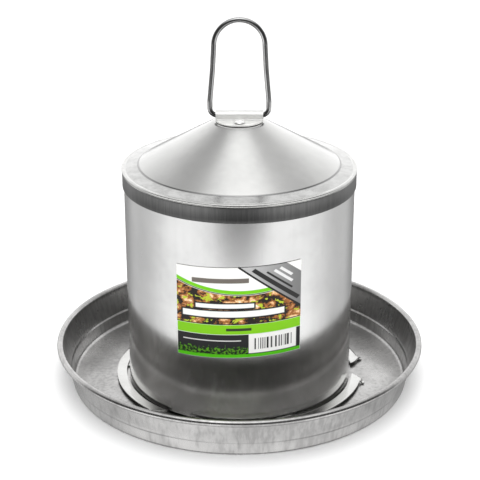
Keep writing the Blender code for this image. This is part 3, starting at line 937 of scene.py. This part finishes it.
veil.links.new(clear.outputs[0], blend.inputs[1])
veil.links.new(black.outputs[0], blend.inputs[2])
veil.links.new(blend.outputs[0], veil.nodes["Material Output"].inputs["Surface"])
flag.data.materials.append(soft_black)
flag.visible_camera = flag.visible_diffuse = flag.visible_shadow = flag.visible_transmission = False

world = bpy.data.worlds.new("studio")
bpy.context.scene.world = world
world.use_nodes = True
sky = world.node_tree
background = sky.nodes["Background"]
direction = node_of(sky, "ShaderNodeTexCoord").outputs["Generated"]
parts = node_of(sky, "ShaderNodeSeparateXYZ", Vector=direction)
depth, height = parts.outputs["Y"], parts.outputs["Z"]
flat_length = maths(sky, "SQRT", maths(sky, "SUBTRACT", 1.0, maths(sky, "MULTIPLY", height, height)))
backwards = maths(sky, "DIVIDE", depth, flat_length)


def glow(azimuth, elevation, spread):
    """A round bell of brightness about one direction: exp((D . D0 - 1) / spread)."""
    a, e = math.radians(azimuth), math.radians(elevation)
    dot = node_of(sky, "ShaderNodeVectorMath")
    dot.operation = "DOT_PRODUCT"
    sky.links.new(direction, dot.inputs[0])
    dot.inputs[1].default_value = (math.cos(a) * math.cos(e), math.sin(a) * math.cos(e), math.sin(e))
    short_of_one = maths(sky, "SUBTRACT", dot.outputs["Value"], 1.0)
    return maths(sky, "EXPONENT", maths(sky, "DIVIDE", short_of_one, spread))


def blended(first, second, share):
    """first * (1 - share) + second * share."""
    kept = maths(sky, "MULTIPLY", first, maths(sky, "SUBTRACT", 1.0, share))
    return maths(sky, "ADD", kept, maths(sky, "MULTIPLY", second, share))


def total(*terms):
    """The sum of several sockets or numbers."""
    result = terms[0]
    for term in terms[1:]:
        result = maths(sky, "ADD", result, term)
    return result


# Above the horizon: a bright ceiling with two dim places behind and one glow in front.
ceiling = ramp(sky, height, 0.90, 0.98, 1.66, 2.35)
front_glow = maths(sky, "MULTIPLY", glow(-90, 60, 0.060), 2.0)
dim_left = maths(sky, "MULTIPLY", glow(137, 56, 0.085), -0.90)
dim_right = maths(sky, "MULTIPLY", glow(43, 54, 0.080), -0.62)
overhead = total(ceiling, front_glow, dim_left, dim_right)
# The end of the room in front of the drinker is dark up to a good height.
room_level = 0.08
room = maths(sky, "MULTIPLY", ramp(sky, backwards, 0.64, -0.04), ramp(sky, height, 0.86, 0.60))
upper = blended(overhead, room_level, room)
# Below the horizon: bright in front, falling off to the back and straight down.
lower = total(
    ramp(sky, backwards, -0.55, 0.50, 2.0, 0.95), ramp(sky, backwards, 0.60, 0.95, 0.0, -0.58),
    ramp(sky, backwards, -0.80, -1.0, 0.0, -0.15))
lower = maths(sky, "MULTIPLY", lower, ramp(sky, height, -0.80, -0.45, 0.75, 1.0))
low_edge = ramp(sky, backwards, 0.30, 0.85, 0.0, 0.17)
below = ramp(sky, maths(sky, "SUBTRACT", height, low_edge), -0.20, -0.30)
value = blended(upper, lower, below)
grey = node_of(sky, "ShaderNodeCombineColor", Red=value, Green=value, Blue=value)
sky.links.new(grey.outputs["Color"], background.inputs["Color"])
background.inputs["Strength"].default_value = 1.0
seen = node_of(sky, "ShaderNodeBackground")
white_ground = 1.6
seen.inputs["Color"].default_value = (white_ground, white_ground, white_ground, 1)
chooser = sky.nodes.new("ShaderNodeMixShader")
sky.links.new(node_of(sky, "ShaderNodeLightPath").outputs["Is Camera Ray"], chooser.inputs[0])
sky.links.new(background.outputs[0], chooser.inputs[1])
sky.links.new(seen.outputs[0], chooser.inputs[2])
sky.links.new(chooser.outputs[0], sky.nodes["World Output"].inputs["Surface"])


def softbox(name, location, target, size, power, mirrored):
    """A square area light aimed at a point."""
    light = bpy.data.lights.new(name, "AREA")
    light.shape = "SQUARE"
    light.size = size
    light.energy = power
    lamp = bpy.data.objects.new(name, light)
    bpy.context.scene.collection.objects.link(lamp)
    lamp.location = location
    aim = np.array(target, float) - np.array(location, float)
    yaw = math.atan2(aim[0], -aim[1])
    lamp.rotation_euler = (math.acos(-aim[2] / np.linalg.norm(aim)), 0, math.pi + yaw)
    lamp.visible_glossy = mirrored
    return lamp


softbox("front light", (0.0, -1.6, 1.3), (0, 0, 0.08), 1.2, 18.0, False)

bpy.context.scene.view_settings.view_transform = "Standard"
bpy.context.scene.view_settings.look = "None"


# ---------------------------------------------------------------------------------------------
# Camera.  A long lens, in front and about 22 degrees above the horizon.
# ---------------------------------------------------------------------------------------------

lens = bpy.data.cameras.new("camera")
lens.lens = 102.07
lens.sensor_width = 36.0
lens.shift_x = 0.0013
camera = bpy.data.objects.new("camera", lens)
bpy.context.scene.collection.objects.link(camera)
camera.location = (0.0, -0.75333, 0.38854)
camera.rotation_euler = (math.radians(90 - 21.805), 0, 0)
bpy.context.scene.camera = camera
